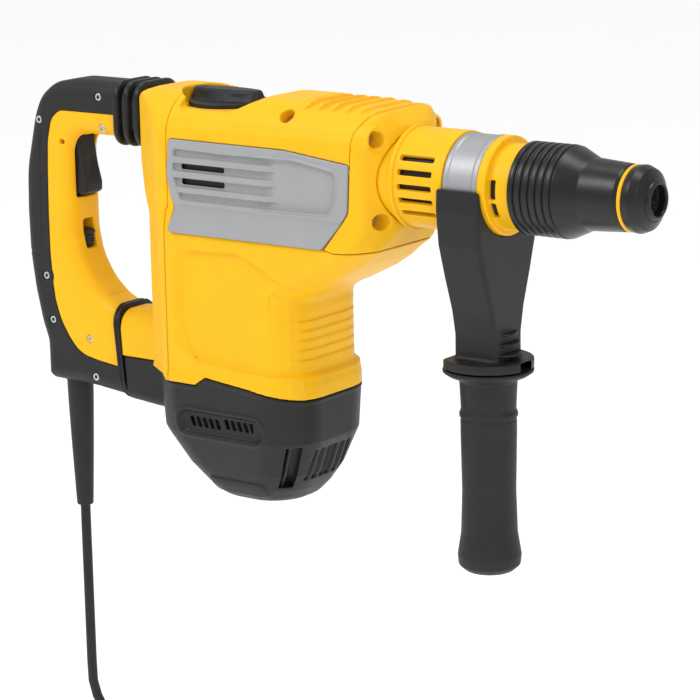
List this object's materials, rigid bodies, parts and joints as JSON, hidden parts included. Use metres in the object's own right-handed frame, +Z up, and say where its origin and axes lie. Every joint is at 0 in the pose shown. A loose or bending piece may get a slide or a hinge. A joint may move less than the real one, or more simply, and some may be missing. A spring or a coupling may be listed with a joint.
{
  "type": "demolition hammer",
  "caption": "Corded L-shaped rotary demolition hammer with sprung rear D-handle, swivelling side handle, mode knob and SDS-max holder.",
  "frame": {"origin": "middle of the rear D-handle's grip, on the plane of symmetry", "axes": "+X along the tool axis towards the nose, +Z up from the motor to the gear housing, +Y to the left of a person who holds the tool"},
  "size_m": [0.558, 0.096, 0.6875],
  "materials": {
    "housing_yellow": "fine-textured moulded nylon, satin",
    "panel_grey": "satin moulded nylon",
    "housing_black": "fine-textured moulded nylon",
    "soft_black": "soft-touch overmould",
    "steel": "ground steel",
    "band_steel": "zinc-plated strip",
    "alloy": "die cast",
    "copper": "enamelled copper wire and segments",
    "brass": "stamped brass",
    "carbon": "pressed carbon",
    "board": "solder-masked circuit board",
    "seal_yellow": "moulded rubber ring",
    "cord_black": "rubber-sheathed mains cord"
  },
  "bodies": {
    "body": {"main_housing": "housing_yellow", "rear_cover": "housing_yellow", "nose_housing": "housing_yellow", "side_panel_right": "panel_grey", "side_panel_left": "panel_grey", "motor_cap": "housing_black", "barrel": "housing_yellow", "barrel_collar": "housing_yellow", "housing_screws": "steel", "upper_bellows": "soft_black", "lower_seal": "soft_black", "handle_pivot_pin": "steel", "control_board": "board", "stator_core": "steel", "field_windings": "copper", "motor_bearings": "steel", "brush_holders": "brass", "carbon_brushes": "carbon", "crankcase": "alloy", "gear_bearings": "steel", "spindle_bearings": "steel"},
    "handle": {"handle_frame": "housing_yellow", "handle_overmould": "soft_black", "handle_screws": "steel", "damper_spring": "steel", "trigger_pin": "steel", "switch_module": "housing_black", "strain_relief": "soft_black", "power_cord": "cord_black", "cord_coil": "cord_black", "cord_tie": "soft_black", "mains_plug": "housing_black"},
    "trigger": {"trigger": "housing_black"},
    "lock_slider": {"lock_slider": "housing_black"},
    "speed_dial": {"speed_dial": "housing_black"},
    "mode_knob": {"mode_knob": "housing_black"},
    "armature": {"armature_shaft": "steel", "armature_core": "steel", "commutator": "copper", "cooling_fan": "housing_black"},
    "crank": {"crank_gear": "steel", "crankshaft": "steel"},
    "intermediate": {"intermediate_shaft": "steel", "intermediate_gear": "steel"},
    "spindle": {"spindle": "steel", "ring_gear": "steel", "locking_rollers": "steel", "nose_cap": "soft_black", "sleeve_spring": "steel"},
    "sleeve": {"locking_sleeve": "housing_black", "nose_seal_ring": "seal_yellow"},
    "piston": {"piston": "alloy", "wrist_pin": "steel"},
    "connecting_rod": {"connecting_rod": "alloy"},
    "ram": {"ram": "steel"},
    "beat_piece": {"beat_piece": "steel"},
    "side_handle": {"clamp_band": "band_steel", "clamp_fork": "housing_black", "clamp_bolt": "steel"},
    "side_grip": {"side_grip": "soft_black"}
  },
  "joints": [
    {"name": "handle_damper", "type": "hinge", "parent": "body", "child": "handle", "pos_m": [0.07, 0, -0.0895], "axis": [0, 1, 0], "range_deg": [0, 2], "stiffness_Nm_per_rad": 150, "springref_deg": -2.86, "deforming": ["upper_bellows", "lower_seal"]},
    {"name": "trigger_pull", "type": "hinge", "parent": "handle", "child": "trigger", "pos_m": [0.011, 0, 0.052], "axis": [0, 1, 0], "range_deg": [0, 9], "stiffness_Nm_per_rad": 1.5, "springref_deg": -5.73},
    {"name": "lock_slide", "type": "slide", "parent": "handle", "child": "lock_slider", "axis": [0, 0, 1], "range_m": [0, 0.006]},
    {"name": "speed_dial_turn", "type": "hinge", "parent": "body", "child": "speed_dial", "pos_m": [0.107, 0, -0.046], "axis": [0, 1, 0], "range_deg": [0, 270]},
    {"name": "mode_knob_turn", "type": "hinge", "parent": "body", "child": "mode_knob", "pos_m": [0.1475, 0, 0.085], "axis": [0, 0, 1], "range_deg": [-90, 90]},
    {"name": "armature_spin", "type": "hinge", "parent": "body", "child": "armature", "pos_m": [0.16, 0, -0.08], "axis": [0, 0, 1], "continuous": true},
    {"name": "crank_spin", "type": "hinge", "parent": "body", "child": "crank", "pos_m": [0.1952, 0, 0], "axis": [0, 0, 1], "continuous": true},
    {"name": "intermediate_spin", "type": "hinge", "parent": "body", "child": "intermediate", "pos_m": [0.2312, 0, 0], "axis": [0, 0, 1], "continuous": true},
    {"name": "spindle_spin", "type": "hinge", "parent": "body", "child": "spindle", "pos_m": [0.4, 0, 0.05], "axis": [1, 0, 0], "continuous": true},
    {"name": "sleeve_pull", "type": "slide", "parent": "spindle", "child": "sleeve", "axis": [1, 0, 0], "range_m": [-0.01, 0], "stiffness_N_per_m": 800, "springref_m": 0.012, "deforming": ["sleeve_spring"]},
    {"name": "piston_stroke", "type": "slide", "parent": "body", "child": "piston", "axis": [1, 0, 0], "range_m": [-0.028, 0]},
    {"name": "rod_swing", "type": "hinge", "parent": "piston", "child": "connecting_rod", "pos_m": [0.2542, 0, 0.05], "axis": [0, 0, 1], "range_deg": [-18, 18]},
    {"name": "ram_travel", "type": "slide", "parent": "body", "child": "ram", "axis": [1, 0, 0], "range_m": [-0.006, 0.007]},
    {"name": "beat_piece_travel", "type": "slide", "parent": "body", "child": "beat_piece", "axis": [1, 0, 0], "range_m": [-0.004, 0.004]},
    {"name": "side_handle_swing", "type": "hinge", "parent": "body", "child": "side_handle", "pos_m": [0.355, 0, 0.05], "axis": [1, 0, 0], "continuous": true},
    {"name": "side_grip_twist", "type": "hinge", "parent": "side_handle", "child": "side_grip", "pos_m": [0.355, 0, -0.1], "axis": [0, 0, 1], "continuous": true}
  ],
  "couplings": [
    {"joint": "crank_spin", "follows": "armature_spin", "ratio": -0.18519},
    {"joint": "intermediate_spin", "follows": "armature_spin", "ratio": 0.061728},
    {"joint": "spindle_spin", "follows": "armature_spin", "ratio": 0.020576}
  ]
}
